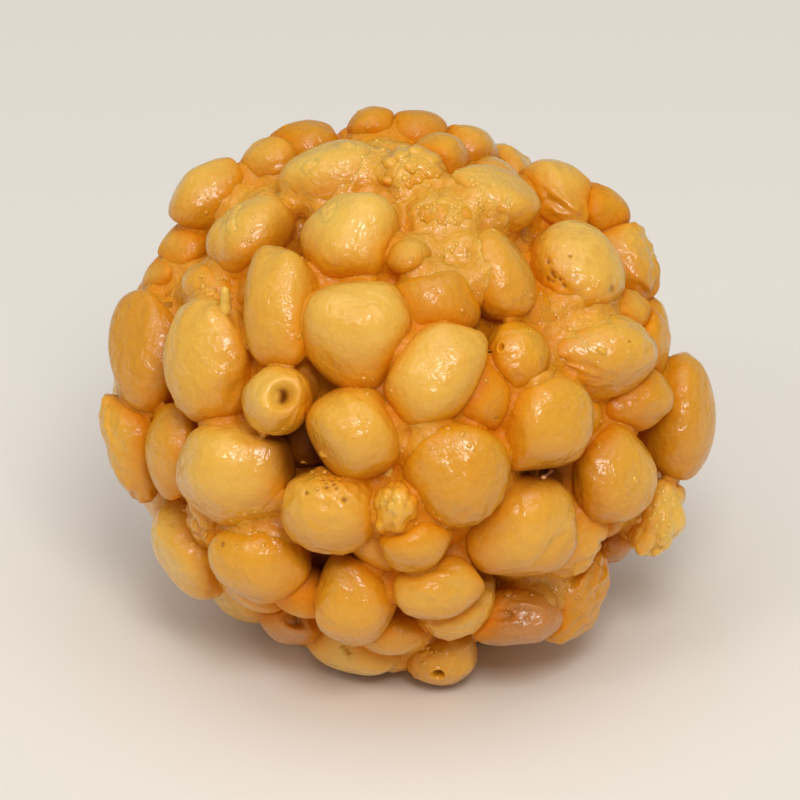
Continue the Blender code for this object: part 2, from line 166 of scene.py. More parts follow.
# Marks on single pearls at the front. Across and up are measured from the pearl's middle in its own
# radii. A flat has the share of the radius that it cuts off. A knob, hole or ridge has its width and
# its height or depth in pearl radii, and a ridge also its angle from across, in degrees. Pits have
# the reach of their patch and their number.
FRONT_MARKS = {
    "middle_smooth": [("knob", 0.0, -0.90, 0.40, 0.10)],
    "middle_slanted": [("flat", -0.70, -0.30, 0.12), ("flat", 0.65, 0.65, 0.14)],
    "middle_blunt": [
        ("flat", 0.95, 0.15, 0.18), ("flat", 0.30, -0.93, 0.16), ("flat", -0.80, -0.52, 0.22),
        ("flat", -0.30, 0.90, 0.12), ("ridge", -0.28, 0.62, 0.16, 0.07, -62),
        ("ridge", 0.22, 0.45, 0.14, 0.05, -35),
    ],
    "left_tall": [("flat", 0.60, 0.10, 0.08)],
    "left_large": [
        ("knob", 0.25, -0.05, 0.12, -0.03), ("knob", 0.30, -0.42, 0.20, -0.06),
        ("knob", -0.12, 0.62, 0.12, 0.05), ("knob", 0.05, -0.40, 0.12, -0.03),
    ],
    "left_ring": [
        ("hole", 0.12, 0.18, 0.44, 0.50), ("knob", -0.50, -0.55, 0.45, 0.10),
        ("knob", 0.60, -0.50, 0.30, 0.05),
    ],
    "left_broad": [
        ("flat", 0.06, 0.97, 0.26), ("flat", 0.97, 0.06, 0.26), ("flat", -0.68, -0.70, 0.22),
        ("flat", -0.97, 0.18, 0.22), ("flat", 0.30, -0.93, 0.18), ("knob", 0.30, 0.93, 0.20, 0.12),
        ("knob", 0.42, 0.28, 0.25, 0.04),
    ],
    "right_pinhole": [("hole", -0.38, 0.25, 0.10, 0.22), ("knob", -0.15, 0.05, 0.35, -0.06)],
    "right_dented": [
        ("knob", -0.35, 0.25, 0.22, 0.03), ("knob", -0.25, -0.25, 0.16, -0.05),
        ("pits", -0.42, 0.00, 0.30, 9),
    ],
    "right_flat": [("flat", -0.55, 0.75, 0.16), ("flat", 0.60, -0.70, 0.10)],
    "right_round": [("knob", -0.72, -0.66, 0.34, 0.15), ("flat", 0.22, -0.97, 0.22)],
    "right_egg": [("flat", 0.75, 0.70, 0.08)],
    "right_edge": [("ridge", 0.35, 0.35, 0.12, 0.05, 5), ("ridge", 0.35, 0.05, 0.12, 0.05, -5)],
    "right_crumbly": [
        ("knob", 0.35, 0.75, 0.40, 0.15), ("knob", 0.75, -0.20, 0.35, 0.12),
        ("knob", -0.50, -0.60, 0.35, 0.12),
    ],
    "lower_hollow": [("hole", 0.10, 0.05, 0.42, 0.30)],
    "lower_speckled": [
        ("flat", -0.10, 0.92, 0.16), ("knob", -0.20, 0.95, 0.20, 0.14), ("pits", 0.00, 0.55, 0.32, 14),
    ],
    "lower_slanted": [
        ("flat", -0.55, 0.70, 0.13), ("knob", -0.80, -0.50, 0.35, 0.12),
        ("ridge", 0.62, -0.42, 0.15, -0.08, 60),
    ],
    "lower_left": [
        ("flat", -0.20, 0.92, 0.24), ("flat", 0.30, -0.88, 0.16), ("flat", 0.85, 0.35, 0.18),
    ],
    "lower_angular": [
        ("flat", -0.90, 0.25, 0.24), ("flat", 0.70, 0.60, 0.26), ("flat", 0.88, -0.40, 0.20),
        ("flat", -0.20, -0.95, 0.18),
    ],
    "lower_pink": [
        ("flat", -0.20, 0.15, 0.30), ("hole", -0.28, 0.10, 0.34, 0.16),
        ("ridge", 0.35, 0.45, 0.12, 0.10, -20),
    ],
    "lower_brown": [("hole", -0.35, -0.10, 0.12, 0.30), ("ridge", -0.10, 0.45, 0.16, 0.12, 30)],
    "bottom_holed": [("hole", -0.55, 0.30, 0.20, 0.45), ("hole", -0.05, -0.60, 0.18, 0.45)],
    "top_beaded": [("knob", 0.0, 0.0, 0.50, -0.12)],
    "top_right_ribbed": [
        ("ridge", -0.30, 0.35, 0.10, 0.03, -50), ("ridge", 0.00, 0.15, 0.10, 0.03, -50),
        ("ridge", 0.30, -0.05, 0.10, 0.03, -50),
    ],
}

# For each kind of pearl: its share of the pearls away from the front, how fine its mesh is, and how
# strong each feature of its shape is, as a share of the pearl's radius.
KINDS = {
    #            share fine lumps flats dents wrinkles pits crumbs
    "smooth": (0.50, 4, 0.046, 0.45, 0.06, 0.010, 0.00, 0.00),
    "pressed": (0.20, 5, 0.048, 1.00, 0.06, 0.012, 0.00, 0.00),
    "wrinkled": (0.14, 5, 0.044, 0.60, 0.05, 0.042, 0.00, 0.00),
    "pitted": (0.06, 5, 0.040, 0.50, 0.04, 0.012, 0.05, 0.00),
    "crumbly": (0.05, 5, 0.050, 0.20, 0.04, 0.006, 0.00, 0.22),
    "brown": (0.03, 5, 0.044, 0.60, 0.06, 0.016, 0.00, 0.00),
    "holed": (0.02, 5, 0.034, 0.30, 0.03, 0.012, 0.00, 0.00),
}
LUMP_FREQUENCIES = (2.4, 6)
SMALL_LUMPS = 0.45  # their height beside that of the large ones
FLATS = 7  # where a pearl lay against others as it dried
FLAT_CUTS = (0.03, 0.17)  # how much they cut off
DENTS, DENT_WIDTHS = 3, (0.25, 0.6)
ROUGH_FREQUENCY, ROUGH_STEPS = 2.5, (-0.4, 0.8)  # the wrinkles, pits and crumbs come in patches
WARP, WARP_FREQUENCY = 0.22, 4  # bends the wrinkles
WRINKLE_FREQUENCY, FINE_FREQUENCY = 7, 18
PATCH_PITS, PATCH_PIT_SPREAD, PATCH_PIT_WIDTHS = 24, 0.5, (0.04, 0.09)
BATTER_CRUMBS, BATTER_CRUMB_WIDTHS = 70, (0.14, 0.32)
HOLE_RIM = 0.12  # height of a hole's rim, as a share of its depth
RIM_PLACE, RIM_WIDTH = 1.28, 0.34  # in hole radii, as its edge is
HOLE_EDGE = (0.60, 1.12)
HOLE_UNEVEN = 0.12
HOLE_WAVES = np.array([1.0, 2.0, 3.0]) / math.sqrt(14)
PIT_WIDTHS = (0.035, 0.075)  # of a pit, in pearl radii
PIT_DEPTH = 0.05
RIDGE_LENGTH = 3  # of half its length, in widths
MARKED_FINE = 6  # how fine the mesh of a front pearl with small marks is
INNER_FINE = 3
FINER_ABOVE = 0.8  # front pearls above this size, in average pearl radii, have a finer mesh
FRONT_FINE = 5
FLAT_SHARPNESS = 8  # larger makes crisper edges round the flats
CONTACT_SHARPNESS = 12
SWELL_ALONG = 1.20  # the pearls are this much wider along the ball's surface than in the solid,
SWELL_OUT = 1.02  # and this much larger out of it, before they press each other flat
SWOLLEN = 1.10  # the average of the two
PRESS_BEYOND = 1.04  # they flatten this much beyond the planes that part them, so that they stick
FIRM = {
    "left_broad", "left_ring", "left_tall", "lower_left_edge", "lower_speckled", "middle_blunt",
    "middle_smooth", "right_dented", "right_egg", "right_flat", "right_round", "upper_pale",
}
FIRMER = 1.14  # these keep their round form, and flatten this much less than the others
DEEPEST_PRESS = 0.66  # most that a neighbour flattens a pearl, as the distance left of its radius

# Linear colours of the fried batter from deep orange to pale yellow, and of what else shows.
DEEP_SHADE = np.array([0.60, 0.245, 0.004])
MIDDLE_SHADE = np.array([0.74, 0.350, 0.010])
PALE_SHADE = np.array([0.82, 0.505, 0.080])
BROWN_SHADE = np.array([0.40, 0.150, 0.003])
PINK_SHADE = np.array([0.50, 0.200, 0.050])
# The amber is partly syrup pooled in the creases and deep in the ball, and partly painted shade there.
AMBER_SHADE = np.array([0.70, 0.215, 0.001])
SHADE_MEAN, SHADE_SPREAD = 0.6, 0.2  # of the pearls away from the front
INNER_PAINTED_SHADE = 0.5  # painted shade: how deep the innermost pearls' colour is beside theirs, for lying deep in the ball
TAPER = 0.12  # most that a pearl away from the front tapers
PAINTED_SIDE_SHADE = 0.65  # painted shade: how much deeper a pearl's sides are in colour than its cap, which is painted light
CRUMBLY_PAINTED_SIDE_SHADE = 0.4  # of that for a crumbly pearl
PAINTED_CAP_EDGE = (0.20, 1.00)  # the painted light of the cap fades in between these cosines to the way out of the ball and up
PAINTED_CAP_UPWARD = 0.7  # how much the painted light on the caps leans up, towards the lamps above
# Brown of stained pits, also painted shadow inside holes and in the open gaps.
STAIN_AND_SHADOW_COLOR = np.array([0.24, 0.060, 0.002])

NEAR_REACH = 0.0010  # how far from a neighbour the syrup colour and painted crease shade reach on a pearl
SOAKED_AND_SHADED_DEPTH = 0.0060  # this deep in the ball the syrup colour and painted shade are full
SYRUP_AND_SHADE_SHARE = 0.80  # of the amber where the syrup colour and painted shade are full

# Open gaps at the front: across and up in ball radii, reach, and strength, which sets how deep they
# open and how dark their painted shadow is. The painted shadow sets in between these depths, given as
# shares of the depth where the syrup colour and painted shade are full.
FRONT_GAPS = [
    (-0.33, -0.17, 0.13, 1.0), (0.50, -0.27, 0.09, 1.0), (-0.38, 0.55, 0.09, 0.5),
    (-0.07, 0.05, 0.08, 0.4), (-0.28, 0.02, 0.09, 0.5), (-0.23, -0.57, 0.10, 0.5),
    (0.28, -0.60, 0.09, 0.5), (0.27, 0.24, 0.07, 0.4),
]
GAP_DEPTHS = (0.25, 0.65)
GAP_DENT = 0.0030  # how much deeper the core lies under them,
GAP_SUGAR_SUNK = 0.0012  # and the boiled sugar in them

# The boiled sugar between the pearls.
SUGAR_VOXEL = 0.00042
SUGAR_STEPS = 6  # of smoothing, which draws it out of the creases
FILM_STEPS = 20  # more of it where the glaze is thick
HOLE_SUNK = 0.0020  # it lies this much lower round a pearl with holes, and leaves them open
HOLE_CLEAR = (0.95, 1.2)  # up to this far from that pearl's middle, in its radii
SUGAR_SUNK = 0.00040  # it lies this much lower than the smoothed skin of the pearls,
FILM_RAISED = 0.00042  # but this much higher where the glaze is thick
FILM_ROUGHNESS = 0.00014
SYRUP_ROUGHNESS = 0.00003
SUGAR_RIPPLES = [(0.8, 45, 60), (0.6, 95, 80)]  # strength, frequency and number of waves
GLAZE_BEHIND = 0.6  # how thick the glaze is in patches that the photo doesn't show
GLAZE_FREQUENCY, GLAZE_EDGE = 6, (0.4, 1.4)
FRONT_GLAZE = [
    (0.22, 0.56, 0.22, 1.0), (0.04, 0.72, 0.13, 0.9), (-0.12, 0.87, 0.16, 0.9),
    (-0.28, 0.74, 0.17, 0.7), (-0.50, 0.62, 0.17, 0.9), (-0.42, 0.80, 0.15, 0.7),
    (0.62, 0.27, 0.15, 0.7), (0.50, -0.65, 0.10, 0.7), (-0.72, 0.38, 0.14, 0.7),
    (0.86, -0.42, 0.12, 0.6), (-0.46, -0.44, 0.11, 0.6), (0.06, -0.12, 0.08, 0.7),
    (0.47, 0.12, 0.08, 0.6),
]
SUGAR_TINT_REACH = 0.0005  # how far a pearl's colour reaches into it
FAR_ENOUGH = 0.003  # beyond this a pearl doesn't matter for its colour
FILM_PALER = 0.35  # thick glaze is paler than the pearls under it,
FILM_CLEARER = 0.7  # and hides this share of the syrup colour and painted shade in the creases
CORE_RADIUS = 0.0184
CORE_LUMPS, CORE_FREQUENCY = 0.03, 6

# Small things stuck to the ball. Rows for the front give across and up in ball radii, and then the
# size of the patch and the number in it.
FAR = 0.050  # where the rays that look for the surface start
BEAD_RADIUS, BEAD_SPREAD, BEAD_FLAT = 0.00016, 0.35, (0.5, 0.9)
CRUMB_RADIUS, CRUMB_SPREAD, CRUMB_FLAT = 0.00015, 0.4, (0.3, 0.7)
CRUMB_ROUGH = 0.35
CRUMB_BROWN = 0.1  # share of the crumbs that are burnt
CRUMB_PALER = 0.2  # than the batter they lie on
BEAD_FINE = 2  # how fine the mesh of both is
BEAD_SUNK = 0.35  # of a bead's height, below the surface
BEAD_CLEARANCE = 0.0006  # lowest height of a bead
PATCH_SPREAD = 0.06  # of the scattered patches
IN_CREASE = 0.35  # scattered ones stick only where the pearls are this near each other
BEAD_PATCHES, BEADS_A_PATCH = 40, 5
CRUMB_PATCHES, CRUMBS_A_PATCH = 26, 4
FRONT_BEADS = [
    (0.04, 0.78, 0.09, 26), (0.12, 0.62, 0.16, 34), (0.22, 0.55, 0.12, 18),
    (0.24, 0.72, 0.07, 10), (0.87, -0.38, 0.11, 26), (-0.52, -0.45, 0.08, 12),
    (0.42, -0.72, 0.09, 26), (0.58, -0.62, 0.09, 22), (0.10, -0.86, 0.08, 12),
    (-0.12, 0.04, 0.08, 8), (-0.46, -0.12, 0.05, 8), (-0.10, 0.91, 0.07, 9),
    (-0.55, 0.62, 0.12, 14), (0.50, 0.30, 0.10, 12), (0.18, -0.13, 0.10, 8),
]
FRONT_CRUMBS = [
    (-0.62, 0.38, 0.09, 16), (-0.26, -0.25, 0.08, 16), (-0.03, -0.32, 0.06, 10),
    (-0.66, -0.44, 0.09, 16), (0.72, 0.26, 0.11, 14), (-0.78, 0.32, 0.07, 8),
    (0.88, -0.42, 0.09, 14), (0.72, -0.50, 0.08, 8), (-0.16, -0.84, 0.06, 6),
    (0.26, -0.46, 0.05, 5),
]
FRONT_TAILS = [  # across, up, angle from across in degrees, length, width
    (-0.595, 0.30, 78, 0.0023, 0.00036),
    (-0.045, -0.26, 60, 0.0008, 0.00024),
    (-0.20, -0.86, -80, 0.0009, 0.00024),
]
FRONT_THREADS = [(0.505, -0.255, 0.030, 0.025)]  # its middle and its run, across and up
TAILS = 14
TAIL_LENGTHS = (0.0007, 0.0014)
TAIL_WIDTH = 0.00026
TAIL_LEAN = 0.9  # how far it leans out of the surface's own direction
TAIL_BEND = 0.22  # of its length
TAIL_SUNK = 0.0002
THREAD_WIDTH = 0.00012
THREAD_BOW = 0.0005  # how far a thread bows out of its gap
THREAD_SHADE = (0.80, 0.42, 0.16)

# The materials. Each noise has its scale, detail and distortion, and an edge is the two values of a
# noise or a mark between which something sets in.
NOISES = {
    "clouds": (340, 4, 0.0),
    "peel": (950, 2, 0.0),
    "grain": (2600, 3, 0.0),
    "syrup": (700, 3, 0.6),
}
MOTTLE_EDGE = (0.38, 0.72)
MOTTLE_SHADE = (0.70, 0.28, 0.01)
ROUGH_EDGE = (0.3, 0.7)
SMOOTHER, ROUGHER = 0.08, 0.12  # how much the roughness varies both ways
GRAIN_SHARE = 0.20  # of the grain in the skin's relief, beside the peel
SKIN_RELIEF, COAT_RELIEF = 0.0005, 0.0009
# The amber near other pearls and deep in the ball is partly syrup and partly painted shade.
DEEP_SYRUP_AND_SHADE = 0.5  # lying deep counts this much beside lying near another pearl
SYRUP_AND_SHADE_EDGE = (0.15, 1.1)
DULL_EDGE = (0.1, 0.6)  # where pearls meet the coat fades, as painted shade on its gloss, and in stains and painted shadows,
DULL_COAT = 0.05  # down to this share of it

# The camera and the studio.
CAMERA_DISTANCE = 1.0
VIEW_WIDTH = 0.064  # at the ball
SENSOR_WIDTH = 36  # in millimetres
FLOOR_SIZE = 4
FLOOR_COLOR = (0.84, 0.81, 0.76, 1)
LAMPS = {
    #          azimuth elevation distance size watts color
    "key_light": (8, 47, 0.60, 0.18, 1.48, (1.0, 0.97, 0.92)),
    "side_light": (-45, 42, 0.80, 0.16, 0.45, (1.0, 0.97, 0.93)),
    "top_light": (0, 76, 0.90, 1.00, 3.8, (1.0, 0.98, 0.95)),
}
SKY_COLOR = (1.0, 0.98, 0.95, 1)
SKY_STRENGTH = 0.35


def unit(vectors):
    return vectors / np.linalg.norm(vectors, axis=-1, keepdims=True)


def seen_at(right, above):
    """A place that far across and up for the viewer."""
    return right * ACROSS + above * UP


def seen_along(turn):
    """The direction at an angle from across for the viewer, in degrees."""
    return seen_at(math.cos(math.radians(turn)), math.sin(math.radians(turn)))


# --- where the pearls lie


def spiral(count):
    """Directions spread evenly over a sphere."""
    index = np.arange(count)
    height = 1 - (2 * index + 1) / count
    ring = np.sqrt(1 - height**2)
    angle = index * GOLDEN_ANGLE
    return np.stack([ring * np.cos(angle), ring * np.sin(angle), height], axis=1)


def ball_surface(directions, bulges, heights):
    """The distance from the ball's centre to its uneven surface in each direction."""
    nearness = np.exp((directions @ bulges.T - 1) / BULGE_SPREAD)
    return BALL_RADIUS * (1 + BULGE_HEIGHT * (nearness @ heights))


def front_pearls():
    """Places, radii and axes of the pearls that stand out at the front."""
    places, radii, axes = [], [], []
    for right, above, long, short, turn, deep, *_ in FRONT_PEARLS.values():
        flat = BALL_RADIUS * seen_at(right, above)
        thick = max(short, THICKNESS)
        middle = BALL_RADIUS - thick * PEARL_RADIUS
        reach = math.sqrt(max(middle**2 - flat @ flat, 0.0)) - deep * PEARL_RADIUS
        length = seen_along(turn)
        places.append(flat + reach * TOWARDS)
        radii.append([long, short, thick])
        axes.append([length, np.cross(TOWARDS, length), TOWARDS])
    return np.array(places), PEARL_RADIUS * np.array(radii), np.array(axes)


def leaning_axes(outward, rng):
    """Axes of a pearl whose length lies nearly along the ball's surface, turned at random."""
    any_way = unit(np.cross(outward, rng.normal(size=outward.shape)))
    lean = rng.uniform(-TILT, TILT, (len(outward), 1))
    length = unit(np.cos(lean) * any_way + np.sin(lean) * outward)
    side = unit(np.cross(outward, length))
    return np.stack([length, side, np.cross(length, side)], axis=1)


def spread_out(places, sizes, loose, surface, lift):
    """Lets the loose pearls push each other along the ball until each has its own room."""
    for _ in range(RELAX_STEPS):
        apart = places[:, None] - places[None]
        distance = np.linalg.norm(apart, axis=2) + np.eye(len(places))
        overlap = np.maximum(SPACING * (sizes[:, None] + sizes[None]) - distance, 0.0)
        np.fill_diagonal(overlap, 0.0)
        push = (apart * (overlap / distance)[:, :, None]).sum(axis=1)
        outward = unit(places[:loose] + PUSH_SHARE * push[:loose])
        places[:loose] = outward * (surface(outward) - PEARL_DEPTH + lift)[:, None]
    return places


def roomy(places, sizes, loose):
    """Marks the pearls to keep: all but the loose ones that are still squeezed."""
    distance = np.linalg.norm(places[:, None] - places[None], axis=2)
    room = distance / (sizes[:, None] + sizes[None])
    np.fill_diagonal(room, np.inf)
    keep = np.ones(len(places), bool)
    for index in range(loose):
        keep[index] = room[index][keep].min() >= SQUEEZED
    return keep


def fill_gaps(places, sizes, count):
    """Places of the deeper pearls. Each sinks in where there is most room for it."""
    directions = spiral(GAP_DIRECTIONS)
    in_front = directions @ TOWARDS > GAP_FRONT
    outermost = BALL_RADIUS - PEARL_DEPTH - np.where(in_front, GAP_SUNK, 0.0)
    for right, above in HOLLOWS:
        aside = np.hypot(directions @ ACROSS - right, directions @ UP - above)
        outermost = outermost - np.where(in_front & (aside < HOLLOW_WIDTH), HOLLOW_DEPTH, 0.0)
    for _ in range(count):
        along = directions @ places.T
        chord = along**2 - (places**2).sum(axis=1) + (GAP_SPACING * (sizes + GAP_RADIUS)) ** 2
        half = np.sqrt(np.maximum(chord, 0.0))
        seat = outermost
        for _ in range(SINK_STEPS):
            inside = np.abs(seat[:, None] - along) < half
            seat = np.where(inside, along - half, seat[:, None]).min(axis=1)
        best = seat.argmax()
        places = np.vstack([places, directions[best] * seat[best]])
        sizes = np.append(sizes, GAP_RADIUS)
    return places[-count:]


def lay_pearls():
    """Places, radii and axes of all pearls, measured from the ball's centre, and their names.

    The pearls at the front and the one underneath stay put. The others start on a spiral behind
    them and find their own room, and the deeper ones then fill the gaps.
    """
    rng = np.random.default_rng(SEED)
    bulges = unit(rng.normal(size=(BULGE_COUNT, 3)))
    heights = rng.uniform(-1, 1, BULGE_COUNT)
    front_places, front_radii, front_axes = front_pearls()
    underneath = [[0, 0, PEARL_DEPTH + SOLE_SUNK - BALL_RADIUS]]
    fixed = np.vstack([front_places, underneath])
    fixed_radii = np.vstack([front_radii, np.full((1, 3), PEARL_RADIUS)])
    fixed_axes = np.concatenate([front_axes, np.eye(3)[None]])

    slots = spiral(SLOTS)
    nearest = np.linalg.norm(slots[:, None] - unit(fixed)[None], axis=2).min(axis=1)
    start = slots[(nearest > CLEAR) & (slots @ TOWARDS < BEHIND)]
    loose = len(start)
    sizes = PEARL_RADIUS * np.clip(rng.normal(1, SIZE_SPREAD, loose), SMALLEST, LARGEST)
    lift = rng.uniform(-SUNK, PROUD, loose)
    stretch = rng.uniform(1, LONGEST, loose)
    thinner = stretch ** (-1 / 3)
    radii = sizes[:, None] * np.stack([stretch ** (2 / 3), thinner, thinner], axis=1)

    places = np.vstack([start * BALL_RADIUS, fixed])
    sizes = np.append(sizes, fixed_radii.mean(axis=1))
    places = spread_out(places, sizes, loose, lambda way: ball_surface(way, bulges, heights), lift)
    keep = roomy(places, sizes, loose)
    deeper = fill_gaps(places[keep], sizes[keep], GAP_PEARLS + INNER_PEARLS)

    axes = leaning_axes(unit(np.vstack([places[:loose], deeper[:GAP_PEARLS]])), rng)
    inner_axes = leaning_axes(unit(deeper[GAP_PEARLS:]), rng)
    places = np.vstack([places[keep], deeper])
    radii = np.vstack([radii[keep[:loose]], fixed_radii, np.full((len(deeper), 3), GAP_RADIUS)])
    axes = np.concatenate([axes[:loose][keep[:loose]], fixed_axes, axes[loose:], inner_axes])
    kept = int(keep[:loose].sum())
    names = [""] * kept + list(FRONT_PEARLS) + ["sole"] + ["gap"] * GAP_PEARLS + ["inner"] * INNER_PEARLS
    return places, radii, axes, names


# --- the shape of a pearl


def read_rows(items, label, width, kind=np.int32):
    """One property of all the vertices, edges or faces of a mesh, a row for each."""
    values = np.empty(len(items) * width, kind)
    items.foreach_get(label, values)
    return values.reshape(-1, width)


def round_pattern(fine):
    """Vertices and triangles of a unit ball."""
    bpy.ops.mesh.primitive_ico_sphere_add(subdivisions=fine, radius=1)
    pattern = bpy.context.active_object
    mesh = pattern.data
    points = read_rows(mesh.vertices, "co", 3, np.float32)
    faces = read_rows(mesh.polygons, "vertices", 3)
    bpy.data.objects.remove(pattern)
    bpy.data.meshes.remove(mesh)
    return unit(points.astype(float)), faces


PATTERNS = {fine: round_pattern(fine) for fine in range(BEAD_FINE, MARKED_FINE + 1)}


def ripples(points, rng, frequency, waves=20):
    """Smooth random relief, about 1 in strength, with features 1 / frequency wide."""
    way = unit(rng.normal(size=(waves, 3))) * rng.uniform(0.7, 1.4, (waves, 1)) * frequency
    phase = rng.uniform(0, 2 * math.pi, waves)
    return np.sin(points @ way.T + phase).sum(axis=1) * math.sqrt(2 / waves)


def angles(points, ways):
    return np.arccos(np.clip(points @ ways.T, -1, 1))


def holes_at(points, ways, widths, rng):
    """How far each point lies in a round hole: 1 in the middle of the nearest, 0 outside them all."""
    widths = rng.uniform(*widths, len(ways))
    return np.exp(-((angles(points, ways) / widths) ** 2)).max(axis=1)


def smooth_step(values, low, high):
    share = np.clip((values - low) / (high - low), 0, 1)
    return share * share * (3 - 2 * share)


def press_flat(body, way, limit, sharpness):
    """Flattens a pearl beyond a distance in one direction, with a rounded edge."""
    over = np.maximum(body @ way, 0) / limit
    return body / ((1 + over**sharpness) ** (1 / sharpness))[:, None]


def contacts(index, name, places, radii, axes):
    """The planes that part a pearl from its neighbours: directions, and distances from its middle."""
    apart = places - places[index]
    distance = np.linalg.norm(apart, axis=1)
    close = (distance > 0) & (distance < SWELL_ALONG * (radii.max(axis=1) + radii[index].max()))
    planes = []
    for other in np.flatnonzero(close):
        way = apart[other] / distance[other]
        mine = 1 / np.linalg.norm(axes[index] @ way / radii[index])
        theirs = 1 / np.linalg.norm(axes[other] @ way / radii[other])
        reach = np.linalg.norm(radii[index] * (axes[index] @ way))
        limit = PRESS_BEYOND * distance[other] * mine / (mine + theirs)
        if name in FIRM:
            limit *= FIRMER
        planes.append((way, max(limit, DEEPEST_PRESS * reach)))
    return planes


def mark_way(axes, right, above):
    """The direction, in the pearl's own axes, of a place on the half of it that faces the viewer."""
    facing = math.sqrt(max(1 - right**2 - above**2, 0.0))
    return unit(axes @ (seen_at(right, above) + facing * TOWARDS))


def pearl_body(points, kind, axes, marks, rng):
    """A lumpy ball of radius 1, flattened by what it was pressed against."""
    _, _, lumps, flats, *_ = KINDS[kind]
    large, small = [ripples(points, rng, frequency) for frequency in LUMP_FREQUENCIES]
    body = points * (1 + lumps * (large + SMALL_LUMPS * small))[:, None]
    for way, cut in zip(unit(rng.normal(size=(FLATS, 3))), rng.uniform(*FLAT_CUTS, FLATS)):
        body = press_flat(body, way, 1 - flats * cut, FLAT_SHARPNESS)
    for label, right, above, cut, *_ in marks:
        if label == "flat":
            body = press_flat(body, mark_way(axes, right, above), 1 - cut, FLAT_SHARPNESS)
    return body / np.abs(body).max(axis=0)


def skin_relief(points, kind, rng):
    """The height of a pearl's skin over its body, as a share of its radius, and how stained it is."""
    _, _, _, _, dents, wrinkles, pits, crumbs = KINDS[kind]
    relief = -dents * holes_at(points, unit(rng.normal(size=(DENTS, 3))), DENT_WIDTHS, rng)
    stain_and_shadow = np.zeros(len(points))
    rough = smooth_step(ripples(points, rng, ROUGH_FREQUENCY), *ROUGH_STEPS)
    if wrinkles:
        warp = np.stack([ripples(points, rng, WARP_FREQUENCY) for _ in range(3)], axis=1)
        creases = 1 - np.abs(ripples(points + WARP * warp, rng, WRINKLE_FREQUENCY))
        relief += wrinkles * (0.2 + 0.8 * rough) * (creases + 0.4 * ripples(points, rng, FINE_FREQUENCY))
    if pits:
        ways = unit(unit(rng.normal(size=3)) + rng.normal(0, PATCH_PIT_SPREAD, (PATCH_PITS, 3)))
        pitted = holes_at(points, ways, PATCH_PIT_WIDTHS, rng) * (0.15 + 0.85 * rough)
        relief += pits * (0.25 * rough * ripples(points, rng, FINE_FREQUENCY) - pitted)
        stain_and_shadow = 0.8 * pitted
    if crumbs:
        crumb_ways = unit(rng.normal(size=(BATTER_CRUMBS, 3)))
        crumb_widths = rng.uniform(*BATTER_CRUMB_WIDTHS, BATTER_CRUMBS)
        far = angles(points, crumb_ways) / crumb_widths
        bumps = (crumb_widths * np.sqrt(np.maximum(1 - far**2, 0))).max(axis=1) / crumb_widths.max()
        relief += crumbs * ((0.4 + 0.6 * rough) * (bumps - 0.5) + 0.06 * ripples(points, rng, 16))
    return relief, stain_and_shadow


def mark_relief(points, axes, mark, rng):
    """The height of one knob, hole or ridge, or of pits, and how dark it is: brown pits, painted shade
    in a hole.
    """
    label, right, above, size, height = mark[:5]
    way = mark_way(axes, right, above)
    angle = angles(points, way)
    if label == "knob":
        return height * np.exp(-((angle / size) ** 2)), np.zeros(len(points))
    if label == "hole":
        angle = angle * (1 + HOLE_UNEVEN * np.sin(2 * points @ (axes @ HOLE_WAVES) / size))
        inside = 1 - smooth_step(angle / size, *HOLE_EDGE)
        rim = np.exp(-(((angle / size - RIM_PLACE) / RIM_WIDTH) ** 2))
        inside = inside * (0.8 + 0.5 * (points - way) @ (axes @ ACROSS) / size)
        # The dark inside a hole, deeper towards one side, is painted shade.
        dark = smooth_step(height, 0.1, 0.5) * smooth_step(inside, 0.4, 1.0)
        return HOLE_RIM * rim * min(height, 0.4) - height * inside, dark
    if label == "pits":
        pitted = holes_at(points, unit(way + rng.normal(0, 0.6 * size, (height, 3))), PIT_WIDTHS, rng)
        return -PIT_DEPTH * pitted, 0.7 * smooth_step(pitted, 0.3, 0.9)
    along = unit(axes @ seen_along(mark[5]))
    along = unit(along - way * (along @ way))
    over = points @ np.cross(way, along)
    length = points @ along
    near = np.exp(-((over / size) ** 2) - (length / (RIDGE_LENGTH * size)) ** 4)
    return height * np.where(points @ way > 0, near, 0), np.zeros(len(points))


def shape_pearl(index, name, kind, taper, outward, radii, axes, planes):
    """Vertices, from its middle, triangles and stains of one pearl, with painted shade in its holes."""
    rng = np.random.default_rng([SEED, index])
    marks = FRONT_MARKS.get(name, [])
    fine = KINDS[kind][1]
    if name == "inner":
        fine = INNER_FINE
    elif marks and kind in ("holed", "pitted", "crumbly", "wrinkled"):
        fine = MARKED_FINE
    elif name in FRONT_PEARLS and radii.mean() > FINER_ABOVE * PEARL_RADIUS:
        fine = FRONT_FINE
    points, faces = PATTERNS[fine]
    body = pearl_body(points, kind, axes, marks, rng)
    relief, stain_and_shadow = skin_relief(points, kind, rng)
    for mark in marks:
        if mark[0] != "flat":
            height, dark = mark_relief(points, axes, mark, rng)
            relief = relief + height
            stain_and_shadow = np.maximum(stain_and_shadow, dark)
    local = body * (1 + relief)[:, None] * radii
    local[:, 1:] *= (1 - taper * points[:, 0])[:, None]
    shape = SWELL_ALONG * local @ axes
    shape += (SWELL_OUT / SWELL_ALONG - 1) * (shape @ outward)[:, None] * outward
    for way, limit in planes:
        shape = press_flat(shape, way, limit, CONTACT_SHARPNESS)
    return shape, faces, stain_and_shadow


# --- colours of the pearls


def tint_of(shade):
    """The batter's colour, from deep orange at 0 to pale yellow at 1."""
    shade = max(shade, 0.0)
    if shade < 0.5:
        return DEEP_SHADE + (MIDDLE_SHADE - DEEP_SHADE) * shade * 2
    return MIDDLE_SHADE + (PALE_SHADE - MIDDLE_SHADE) * (shade - 0.5) * 2


